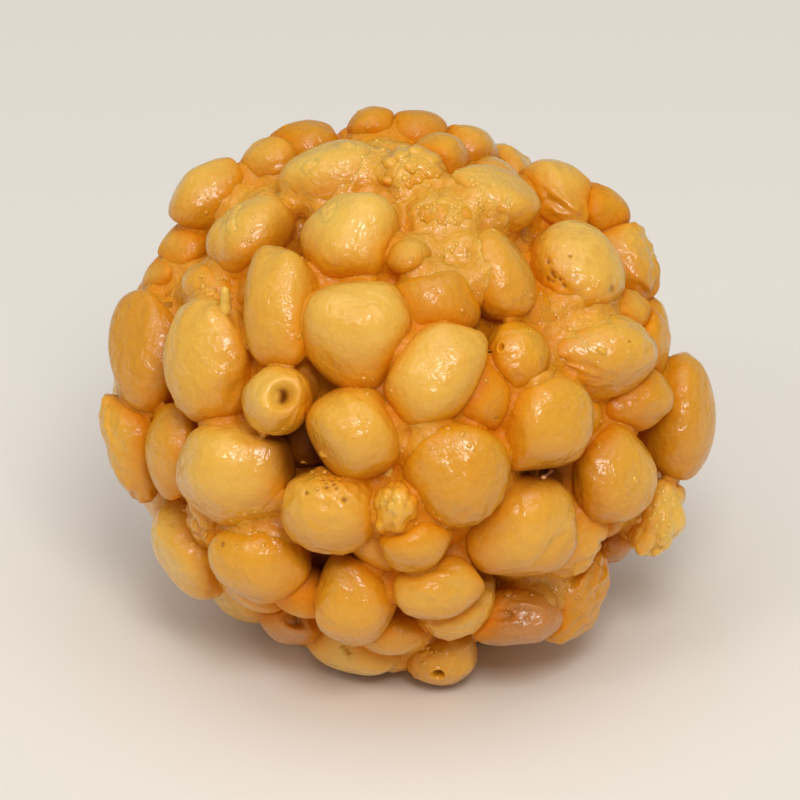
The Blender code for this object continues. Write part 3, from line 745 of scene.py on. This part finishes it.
def shaded_and_lit_tints(look):
    """The colours of a pearl's sides, deeper as painted shade, and of its cap, paler as painted light.
    """
    kind, shade, _ = look
    if kind == "brown":
        return BROWN_SHADE, BROWN_SHADE + shade * (PINK_SHADE - BROWN_SHADE)
    deeper = CRUMBLY_PAINTED_SIDE_SHADE * PAINTED_SIDE_SHADE if kind == "crumbly" else PAINTED_SIDE_SHADE
    return tint_of(shade - deeper), tint_of(shade)


def pearl_tint(points, place, radii, axes, look):
    """A pearl's colour at points on it or near it: painted light on its cap, painted shade on its sides.
    """
    side, cap = shaded_and_lit_tints(look)
    # Skin that faces out of the ball and up gets the cap's painted light, the rest the sides' painted
    # shade.
    facing = unit((points - place) @ axes.T / radii**2) @ axes
    top = unit(unit(points - CENTRE) + [0, 0, PAINTED_CAP_UPWARD])
    share = smooth_step((facing * top).sum(axis=1), *PAINTED_CAP_EDGE)[:, None]
    return side + share * (cap - side)


def choose_looks(names):
    """The kind, shade and taper of every pearl."""
    rng = np.random.default_rng(SEED + 1)
    labels = list(KINDS)
    shares = np.array([KINDS[label][0] for label in labels])
    looks = []
    for name in names:
        kind = labels[rng.choice(len(labels), p=shares / shares.sum())]
        shade = float(np.clip(rng.normal(SHADE_MEAN, SHADE_SPREAD), 0, 1))
        taper = rng.uniform(-TAPER, TAPER)
        if name == "inner":
            kind, shade = "smooth", INNER_PAINTED_SHADE * shade
        if name in FRONT_PEARLS:
            *_, kind, shade, taper = FRONT_PEARLS[name]
        looks.append((kind, shade, taper))
    return looks


def ellipsoid_distance(points, place, radii, axes):
    """Roughly how far each point is outside a pearl."""
    local = (points - place) @ axes.T
    size = np.linalg.norm(local / radii, axis=1)
    return (1 - 1 / np.maximum(size, 1e-6)) * np.linalg.norm(local, axis=1)


def syrup_and_shade_tint(tint, near, deep):
    """The amber that syrup and painted shade give the batter near other pearls and deep in the ball."""
    low, high = SYRUP_AND_SHADE_EDGE
    share = SYRUP_AND_SHADE_SHARE * min(max((near + DEEP_SYRUP_AND_SHADE * deep - low) / (high - low), 0.0), 1.0)
    return tint + share * (AMBER_SHADE - tint)


def closeness(points, index, places, radii, axes):
    """How near each vertex of a pearl is to the other pearls: 1 where they touch, 0 in the open."""
    near = np.zeros(len(points))
    room = np.linalg.norm(places - places[index], axis=1) - radii.max(axis=1) - 1.2 * radii[index].max()
    for other in np.flatnonzero(room < 3 * NEAR_REACH):
        if other != index:
            distance = ellipsoid_distance(points, places[other], SWOLLEN * radii[other], axes[other])
            near = np.maximum(near, np.exp(-np.maximum(distance, 0) / NEAR_REACH))
    return near


def patches_at_front(points, rows):
    """How strongly each point lies in one of the patches of a table, at the front of the ball only."""
    seen = (points - CENTRE) @ np.array([ACROSS, UP, TOWARDS]).T / BALL_RADIUS
    share = np.zeros(len(points))
    for right, above, reach, strength in rows:
        aside = np.hypot(seen[:, 0] - right, seen[:, 1] - above)
        share = np.maximum(share, strength * np.exp(-((aside / reach) ** 4)))
    return share, smooth_step(seen[:, 2], 0.0, 0.3)


def gap_share(points):
    """How far each point lies under one of the open gaps at the front."""
    share, front = patches_at_front(points, FRONT_GAPS)
    return share * front


def painted_gap_shadow(points):
    """How dark each point is for lying deep in one of those gaps: a painted shadow."""
    return gap_share(points) * smooth_step(buried(points), *GAP_DEPTHS)


def buried(points):
    """How deep each point lies in the ball: 0 at its surface, 1 at SOAKED_AND_SHADED_DEPTH and beyond."""
    return np.clip((BALL_RADIUS - np.linalg.norm(points - CENTRE, axis=1)) / SOAKED_AND_SHADED_DEPTH, 0, 1)


# --- meshes


def plain_object(name, points, faces):
    """An object from vertices and faces."""
    mesh = bpy.data.meshes.new(name)
    mesh.vertices.add(len(points))
    mesh.vertices.foreach_set("co", points.astype(np.float32).ravel())
    mesh.loops.add(faces.size)
    mesh.loops.foreach_set("vertex_index", faces.astype(np.int32).ravel())
    mesh.polygons.add(len(faces))
    mesh.polygons.foreach_set("loop_start", np.arange(0, faces.size, faces.shape[1], dtype=np.int32))
    mesh.update(calc_edges=True)
    obj = bpy.data.objects.new(name, mesh)
    bpy.context.scene.collection.objects.link(obj)
    return obj


def new_piece(name, points, faces, colors):
    """An object with colours per vertex too, smooth shaded and flat underneath."""
    points = points.copy()
    points[:, 2] = np.maximum(points[:, 2], 0.0)
    obj = plain_object(name, points, faces)
    mesh = obj.data
    mesh.validate()
    for label, values in colors.items():
        attribute = mesh.attributes.new(label, "FLOAT_COLOR", "POINT")
        full = np.concatenate([values, np.ones((len(values), 1))], axis=1)
        attribute.data.foreach_set("color", full.astype(np.float32).ravel())
    mesh.shade_smooth()
    return obj


class Heap:
    """Gathers the vertices, faces and colours of many small things that become one piece."""

    def __init__(self):
        self.points, self.faces, self.tint, self.marks, self.count = [], [], [], [], 0

    def add(self, points, faces, tint, marks=(0.0, 0.0, 0.0)):
        self.points.append(points)
        self.faces.append(faces + self.count)
        self.tint.append(np.broadcast_to(tint, points.shape))
        self.marks.append(np.broadcast_to(marks, points.shape))
        self.count += len(points)

    def build(self, name):
        colors = {"tint": np.concatenate(self.tint), "marks": np.concatenate(self.marks)}
        return new_piece(name, np.concatenate(self.points), np.concatenate(self.faces), colors)


def build_pearls(places, radii, axes, names, looks):
    """One piece for each kind of pearl."""
    heaps = {}
    for index, (name, look) in enumerate(zip(names, looks)):
        kind, _, taper = look
        planes = contacts(index, name, places, radii, axes)
        outward = unit(places[index] - CENTRE)
        place, size, turn = places[index], radii[index], axes[index]
        shape, faces, stain_and_shadow = shape_pearl(index, name, kind, taper, outward, size, turn, planes)
        points = place + shape
        tint = pearl_tint(points, place, size, turn, look)
        # near and buried bring the amber of syrup and painted shade in the creases and deep in the ball;
        # the stain channel holds brown pits, and painted shadow in holes and open gaps.
        near = closeness(points, index, places, radii, axes)
        stain_and_shadow = np.maximum(stain_and_shadow, painted_gap_shadow(points))
        marks = np.stack([near, buried(points), stain_and_shadow], axis=1)
        label = "inner" if name == "inner" else kind
        heaps.setdefault(label, Heap()).add(points, faces, tint, marks)
    return {f"pearls_{label}": heap.build(f"pearls_{label}") for label, heap in heaps.items()}


def build_core():
    """A lumpy ball in the middle, dented under the open gaps."""
    points, faces = PATTERNS[FRONT_FINE]
    rng = np.random.default_rng(SEED + 2)
    gaps = gap_share(points * CORE_RADIUS + CENTRE)
    far = CORE_RADIUS * (1 + CORE_LUMPS * ripples(points, rng, CORE_FREQUENCY)) - GAP_DENT * gaps
    # Fully near and deep: the full amber of syrup and painted shade, and painted shadow under the gaps.
    marks = np.stack([np.ones(len(points)), np.ones(len(points)), gaps], axis=1)
    heap = Heap()
    heap.add(points * far[:, None] + CENTRE, faces, AMBER_SHADE, marks)
    return heap.build("core")


# --- boiled sugar


def remeshed(pieces, voxel):
    """Vertices, quads and edges of one skin round all the pieces."""
    points = [read_rows(piece.data.vertices, "co", 3, np.float32) for piece in pieces]
    starts = np.cumsum([0] + [len(rows) for rows in points])
    faces = [read_rows(piece.data.polygons, "vertices", 3) for piece in pieces]
    faces = [rows + start for rows, start in zip(faces, starts)]
    merged = plain_object("merged", np.concatenate(points), np.concatenate(faces))
    remesh = merged.modifiers.new("skin", "REMESH")
    remesh.mode = "VOXEL"
    remesh.voxel_size = voxel
    bpy.context.view_layer.update()
    skin = bpy.data.meshes.new_from_object(merged.evaluated_get(bpy.context.evaluated_depsgraph_get()))
    points = read_rows(skin.vertices, "co", 3, np.float32).astype(float)
    quads = read_rows(skin.polygons, "vertices", 4)
    edges = read_rows(skin.edges, "vertices", 2)
    rough = merged.data
    bpy.data.objects.remove(merged)
    bpy.data.meshes.remove(rough)
    bpy.data.meshes.remove(skin)
    return points, quads, edges


def largest_shell(points, quads, edges):
    """Leaves out the skins of sealed hollows."""
    label = np.arange(len(points))
    while True:
        low = np.minimum(label[edges[:, 0]], label[edges[:, 1]])
        new = label.copy()
        np.minimum.at(new, edges[:, 0], low)
        np.minimum.at(new, edges[:, 1], low)
        new = new[new]
        if (new == label).all():
            break
        label = new
    keep = label == np.bincount(label).argmax()
    number = np.cumsum(keep) - 1
    return points[keep], number[quads[keep[quads[:, 0]]]], number[edges[keep[edges[:, 0]]]]


def smoothed(points, edges, steps, weight):
    """Draws each vertex towards the middle of its neighbours, a number of times."""
    ends, starts = np.concatenate([edges, edges[:, ::-1]]).T
    count = np.bincount(ends, minlength=len(points))
    for _ in range(steps):
        sums = [np.bincount(ends, points[starts, side], len(points)) for side in range(3)]
        points = points + weight[:, None] * (np.stack(sums, axis=1) / count[:, None] - points)
    return points


def normals_of(points, quads):
    """The skin's own direction at each vertex."""
    corners = points[quads]
    across = np.cross(corners[:, 2] - corners[:, 0], corners[:, 3] - corners[:, 1])
    sums = [np.bincount(quads.ravel(), np.repeat(across[:, side], 4), len(points)) for side in range(3)]
    return unit(np.stack(sums, axis=1))


def film_share(points):
    """Where the glaze is thick: as the table has it at the front, and in broad patches elsewhere."""
    rng = np.random.default_rng(SEED + 3)
    waves = ripples(unit(points - CENTRE), rng, GLAZE_FREQUENCY)
    patches = GLAZE_BEHIND * smooth_step(waves, *GLAZE_EDGE)
    share, front = patches_at_front(points, FRONT_GLAZE)
    return patches + front * (share - patches)


def build_sugar(pieces, places, radii, axes, looks):
    """One skin that lies in the creases between the pearls, and over them where the glaze is thick."""
    points, quads, edges = largest_shell(*remeshed(pieces, SUGAR_VOXEL))
    points = smoothed(points, edges, SUGAR_STEPS, np.ones(len(points)))
    film = film_share(points)
    points = smoothed(points, edges, FILM_STEPS, film)
    way = unit(points - CENTRE)
    rng = np.random.default_rng(SEED + 6)
    relief = sum(strength * ripples(way, rng, *waves) for strength, *waves in SUGAR_RIPPLES)
    rough = (SYRUP_ROUGHNESS + FILM_ROUGHNESS * film) * relief
    lift = film * (FILM_RAISED + SUGAR_SUNK) - SUGAR_SUNK
    lift = lift - GAP_SUGAR_SUNK * gap_share(points)
    for place, size, (kind, _, _) in zip(places, radii, looks):
        if kind == "holed":
            aside = np.linalg.norm(points - place, axis=1) / size.mean()
            lift = lift - HOLE_SUNK * (1 - smooth_step(aside, *HOLE_CLEAR))
    points = points + (rough + lift)[:, None] * normals_of(points, quads)
    weights = np.zeros(len(points))
    color = np.zeros((len(points), 3))
    first, second = np.full((2, len(points)), 9 * NEAR_REACH)
    for place, size, turn, look in zip(places, radii, axes, looks):
        local = np.flatnonzero(np.linalg.norm(points - place, axis=1) < size.max() + FAR_ENOUGH)
        distance = ellipsoid_distance(points[local], place, SWOLLEN * size, turn)
        share = np.exp(-np.maximum(distance, 0) / SUGAR_TINT_REACH)
        weights[local] += share
        color[local] += share[:, None] * pearl_tint(points[local], place, size, turn, look)
        second[local] = np.minimum(second[local], np.maximum(first[local], distance))
        first[local] = np.minimum(first[local], distance)
    color = color / np.maximum(weights, 1e-6)[:, None]
    color = color + FILM_PALER * film[:, None] * (PALE_SHADE - color)
    # The film takes the pearls' painted light and shade; near creases the amber of syrup and painted
    # shade,
    # and painted shadow in the open gaps.
    near = np.exp(-np.maximum(second, 0) / NEAR_REACH) * (1 - FILM_CLEARER * film)
    marks = np.stack([near, buried(points), painted_gap_shadow(points)], axis=1)
    return new_piece("boiled_sugar", points, quads, {"tint": color, "marks": marks})


# --- beads, crumbs, tails and threads


def landing(pieces, start, way):
    """Where a ray first meets the pieces: spot, direction, colour and how near a crease it is."""
    start, way = Vector(start), Vector(way)
    nearest, found = math.inf, None
    for piece in pieces:
        hit, spot, normal, face = piece.ray_cast(start, way)
        if hit and (spot - start).length < nearest:
            nearest = (spot - start).length
            corner = piece.data.polygons[face].vertices[0]
            tint = np.array(piece.data.attributes["tint"].data[corner].color[:3])
            near, deep = piece.data.attributes["marks"].data[corner].color[:2]
            # Its colour carries the amber of syrup and painted shade that the creases have.
            found = np.array(spot), unit(np.array(normal)), syrup_and_shade_tint(tint, near, deep), near
    return found


def front_landing(pieces, right, above):
    """Where the viewer's line of sight meets the ball, for a place across and up in ball radii."""
    return landing(pieces, CENTRE + BALL_RADIUS * seen_at(right, above) + FAR * TOWARDS, -TOWARDS)


def front_spots(rng, pieces, right, above, reach, count):
    """Random places on the front, round one that is given across and up in ball radii."""
    offsets = rng.normal(0, 0.5 * reach, (count, 2))
    spots = [front_landing(pieces, right + more, above + rise) for more, rise in offsets]
    return [spot for spot in spots if spot]


def scattered_spots(rng, pieces, patches, count):
    """Random places in patches all over the ball."""
    spots = []
    for patch in unit(rng.normal(size=(patches, 3))):
        for way in unit(patch + rng.normal(0, PATCH_SPREAD, (rng.integers(count // 2, 2 * count), 3))):
            spots.append(landing(pieces, CENTRE + FAR * way, -way))
    return [spot for spot in spots if spot and spot[0][2] > BEAD_CLEARANCE and spot[3] > IN_CREASE]


def sticky_spots(rng, pieces, rows, patches, count):
    """Both: those of a table at the front, and those all over."""
    spots = [spot for row in rows for spot in front_spots(rng, pieces, *row)]
    return spots + scattered_spots(rng, pieces, patches, count)


def frame_round(normal, rng):
    """Two directions square to a third."""
    side = unit(np.cross(normal, rng.normal(size=3)))
    return side, np.cross(normal, side)


def add_lump(heap, spot, size, squash, rough, tint, rng):
    """One bead or crumb, half sunk into the surface."""
    place, normal = spot[:2]
    side, other = frame_round(normal, rng)
    points, faces = PATTERNS[BEAD_FINE]
    far = 1 + rough * ripples(points, rng, 2.6) if rough else np.ones(len(points))
    local = points * far[:, None] * size * [rng.uniform(0.8, 1.3), rng.uniform(0.8, 1.2), squash]
    local = local @ np.array([side, other, normal]) + place - BEAD_SUNK * squash * size * normal
    heap.add(local, faces, tint)


def add_strand(heap, path, widths, tint, sides=8):
    """A round strand along a path, closed at both ends."""
    path = np.array(path)
    run = unit(np.gradient(path, axis=0))
    side = unit(np.cross(run, unit(np.cross(run[0], [0.31, 0.77, 0.55])) + 0.2))
    other = np.cross(run, side)
    angle = np.linspace(0, 2 * math.pi, sides, endpoint=False)
    ring = np.cos(angle)[None, :, None] * side[:, None] + np.sin(angle)[None, :, None] * other[:, None]
    points = (path[:, None] + np.array(widths)[:, None, None] * ring).reshape(-1, 3)
    points = np.vstack([points, path[0] - widths[0] * run[0], path[-1] + widths[-1] * run[-1]])
    faces = []
    for row in range(len(path) - 1):
        for col in range(sides):
            low, high = row * sides + col, row * sides + (col + 1) % sides
            faces += [[low, high, high + sides], [low, high + sides, low + sides]]
    first, last, end = len(points) - 2, len(points) - 1, (len(path) - 1) * sides
    for col in range(sides):
        faces += [[first, (col + 1) % sides, col], [last, end + col, end + (col + 1) % sides]]
    heap.add(points, np.array(faces), tint)


def add_tail(heap, spot, way, length, width, tint, rng):
    """A tail of batter that stuck out when the pearl dropped into the oil."""
    place, normal = spot[:2]
    side, _ = frame_round(way, rng)
    share = np.linspace(0, 1, 9)[:, None]
    path = place - TAIL_SUNK * normal + length * (share * way + TAIL_BEND * share**2 * side)
    widths = width * (1.3 - 0.5 * share[:, 0] ** 2 + 0.2 * np.sin(7 * share[:, 0]) ** 2)
    add_strand(heap, path, widths, tint)


def add_thread(heap, start, end, bow, width, tint):
    """A thread of sugar between two places, thicker at both ends."""
    share = np.linspace(0, 1, 11)
    path = start + share[:, None] * (end - start) + (4 * share * (1 - share))[:, None] * bow
    widths = width * (1 + 0.8 * (2 * share - 1) ** 2)
    add_strand(heap, path, widths, tint)


def build_beads(pieces):
    """Drops of boiled sugar that give the glaze its sparkle, and threads of it."""
    rng = np.random.default_rng(SEED + 4)
    heap = Heap()
    for spot in sticky_spots(rng, pieces, FRONT_BEADS, BEAD_PATCHES, BEADS_A_PATCH):
        size = BEAD_RADIUS * rng.lognormal(0, BEAD_SPREAD)
        add_lump(heap, spot, size, rng.uniform(*BEAD_FLAT), 0, spot[2], rng)
    for right, above, more, rise in FRONT_THREADS:
        start = front_landing(pieces, right - more / 2, above - rise / 2)[0]
        end = front_landing(pieces, right + more / 2, above + rise / 2)[0]
        add_thread(heap, start, end, THREAD_BOW * TOWARDS, THREAD_WIDTH, THREAD_SHADE)
    return heap.build("sugar_beads")


def build_crumbs(pieces):
    """Crumbs and tails of batter."""
    rng = np.random.default_rng(SEED + 5)
    heap = Heap()
    for spot in sticky_spots(rng, pieces, FRONT_CRUMBS, CRUMB_PATCHES, CRUMBS_A_PATCH):
        size = CRUMB_RADIUS * rng.lognormal(0, CRUMB_SPREAD)
        burnt = rng.random() < CRUMB_BROWN
        tint = BROWN_SHADE if burnt else spot[2] + CRUMB_PALER * (PALE_SHADE - spot[2])
        add_lump(heap, spot, size, rng.uniform(*CRUMB_FLAT), CRUMB_ROUGH, tint, rng)
    for right, above, turn, length, width in FRONT_TAILS:
        way = unit(seen_along(turn) + 0.5 * TOWARDS)
        add_tail(heap, front_landing(pieces, right, above), way, length, width, PALE_SHADE, rng)
    for spot in scattered_spots(rng, pieces, TAILS, 1)[:TAILS]:
        way = unit(spot[1] + rng.normal(0, TAIL_LEAN, 3))
        add_tail(heap, spot, way, rng.uniform(*TAIL_LENGTHS), TAIL_WIDTH, spot[2], rng)
    return heap.build("batter_crumbs")


# --- materials


def sugared_material(name, roughness=0.50, bump=0.45, coat=1.0, mottle=0.30, glow=0.6):
    """Fried batter under a coat of syrup, deeper in colour and duller in the creases.

    It reads the colour "tint" of each vertex, paler on the caps as painted light and deeper on the sides
    as painted shade, and its "marks": how near the next pearl it lies, how deep in the ball, and how
    stained it is. Nearness and depth bring an amber that is partly syrup and partly painted shade; the
    stain is brown in pits and painted shadow in holes and open gaps.
    """
    material = bpy.data.materials.new(name)
    material.use_nodes = True
    tree = material.node_tree

    def plug(node, values):
        for label, value in values.items():
            if isinstance(value, bpy.types.NodeSocket):
                tree.links.new(value, node.inputs[label])
            else:
                node.inputs[label].default_value = value

    def add(kind, values, output, **settings):
        node = tree.nodes.new("ShaderNode" + kind)
        for label, value in settings.items():
            setattr(node, label, value)
        plug(node, values)
        return node.outputs[output]

    def remapped(value, edge, low, high):
        labels = ["Value", "From Min", "From Max", "To Min", "To Max"]
        return add("MapRange", dict(zip(labels, [value, *edge, low, high])), "Result")

    def mixed(share, base, color):
        values = {"Factor": share, "A": base, "B": (*color, 1)}
        return add("Mix", values, "Result", data_type="RGBA")

    def combined(operation, *values):
        return add("Math", dict(enumerate(values)), "Value", operation=operation)

    def bumpy(height, distance):
        return add("Bump", {"Height": height, "Strength": bump, "Distance": distance}, "Normal")

    tint = add("Attribute", {}, "Color", attribute_name="tint")
    marks = add("Attribute", {}, "Color", attribute_name="marks")
    near = add("SeparateColor", {"Color": marks}, "Red")
    deep, stain_and_shadow = near.node.outputs["Green"], near.node.outputs["Blue"]
    coords = add("TexCoord", {}, "Object")
    noise = {}
    for label, values in NOISES.items():
        values = dict(zip(["Vector", "Scale", "Detail", "Distortion"], [coords, *values]))
        noise[label] = add("TexNoise", values, "Fac")

    color = mixed(remapped(noise["clouds"], MOTTLE_EDGE, 0, mottle), tint, MOTTLE_SHADE)
    # Nearness and depth bring amber, partly syrup, partly painted shade; the stain is brown in pits
    # and painted shadow in holes and open gaps.
    pooled_and_shaded = combined("MULTIPLY_ADD", deep, DEEP_SYRUP_AND_SHADE, near)
    color = mixed(remapped(pooled_and_shaded, SYRUP_AND_SHADE_EDGE, 0, SYRUP_AND_SHADE_SHARE), color, AMBER_SHADE)
    color = mixed(stain_and_shadow, color, STAIN_AND_SHADOW_COLOR)
    dull = combined("MAXIMUM", near, stain_and_shadow)
    skin = combined("MULTIPLY_ADD", noise["grain"], GRAIN_SHARE, noise["peel"])
    plug(tree.nodes["Principled BSDF"], {
        "Base Color": color,
        "Metallic": 0.0,
        "Roughness": remapped(noise["clouds"], ROUGH_EDGE, roughness - SMOOTHER, roughness + ROUGHER),
        "IOR": 1.36,
        "Specular IOR Level": 0.25,
        "Normal": bumpy(skin, SKIN_RELIEF),
        "Coat Weight": remapped(dull, DULL_EDGE, coat, DULL_COAT * coat),
        "Coat Roughness": 0.20,
        "Coat IOR": 1.52,
        "Coat Normal": bumpy(noise["syrup"], COAT_RELIEF),
        "Subsurface Weight": glow,
        "Subsurface Radius": (1.0, 0.85, 0.6),
        "Subsurface Scale": 0.0004,
    })
    return material


# --- studio


def make_camera():
    data = bpy.data.cameras.new("camera")
    data.sensor_width = SENSOR_WIDTH
    data.lens = SENSOR_WIDTH * CAMERA_DISTANCE / VIEW_WIDTH
    data.clip_start = 0.01
    camera = bpy.data.objects.new("camera", data)
    bpy.context.scene.collection.objects.link(camera)
    camera.location = CENTRE + CAMERA_DISTANCE * TOWARDS
    camera.rotation_euler = Vector(TOWARDS).to_track_quat("Z", "Y").to_euler()
    bpy.context.scene.camera = camera


def make_floor():
    bpy.ops.mesh.primitive_plane_add(size=FLOOR_SIZE)
    floor = bpy.context.active_object
    floor.name = "floor"
    material = bpy.data.materials.new("floor")
    material.use_nodes = True
    shader = material.node_tree.nodes["Principled BSDF"]
    shader.inputs["Base Color"].default_value = FLOOR_COLOR
    shader.inputs["Roughness"].default_value = 0.6
    floor.data.materials.append(material)


def make_lights():
    """Three soft lamps round the ball, and a pale sky."""
    for name, (azimuth, elevation, distance, size, watts, color) in LAMPS.items():
        data = bpy.data.lights.new(name, "AREA")
        data.shape = "RECTANGLE"
        data.size = data.size_y = size
        data.energy = watts
        data.color = color
        lamp = bpy.data.objects.new(name, data)
        bpy.context.scene.collection.objects.link(lamp)
        turn, tilt = math.radians(azimuth), math.radians(elevation)
        way = Vector((math.sin(turn) * math.cos(tilt), -math.cos(turn) * math.cos(tilt), math.sin(tilt)))
        lamp.location = Vector(CENTRE) + distance * way
        lamp.rotation_euler = way.to_track_quat("Z", "Y").to_euler()
    world = bpy.data.worlds.new("studio")
    world.use_nodes = True
    background = world.node_tree.nodes["Background"]
    background.inputs["Color"].default_value = SKY_COLOR
    background.inputs["Strength"].default_value = SKY_STRENGTH
    bpy.context.scene.world = world
    bpy.context.scene.view_settings.view_transform = "Standard"


# --- the scene

places, radii, axes, names = lay_pearls()
places = places + CENTRE
looks = choose_looks(names)
pieces = build_pearls(places, radii, axes, names, looks)
pieces["core"] = build_core()
pieces["boiled_sugar"] = build_sugar(pieces.values(), places, radii, axes, looks)
bpy.context.view_layer.update()
skins = list(pieces.values())
pieces["sugar_beads"] = build_beads(skins)
pieces["batter_crumbs"] = build_crumbs(skins)

finish = {
    "boiled_sugar": {"roughness": 0.36, "bump": 0.75, "coat": 1.0, "mottle": 0.2},
    "pearls_crumbly": {"roughness": 0.40, "bump": 0.30, "mottle": 0.45},
    "sugar_beads": {"roughness": 0.25, "bump": 0.10, "coat": 1.0, "mottle": 0.0, "glow": 0.1},
    "batter_crumbs": {"roughness": 0.45, "bump": 0.30, "coat": 0.5, "mottle": 0.2, "glow": 0.1},
}
for name, piece in pieces.items():
    piece.data.materials.append(sugared_material(f"sugared_{name}", **finish.get(name, {})))
    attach(piece, "root")
    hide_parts("ladoo")

make_camera()
make_floor()
make_lights()
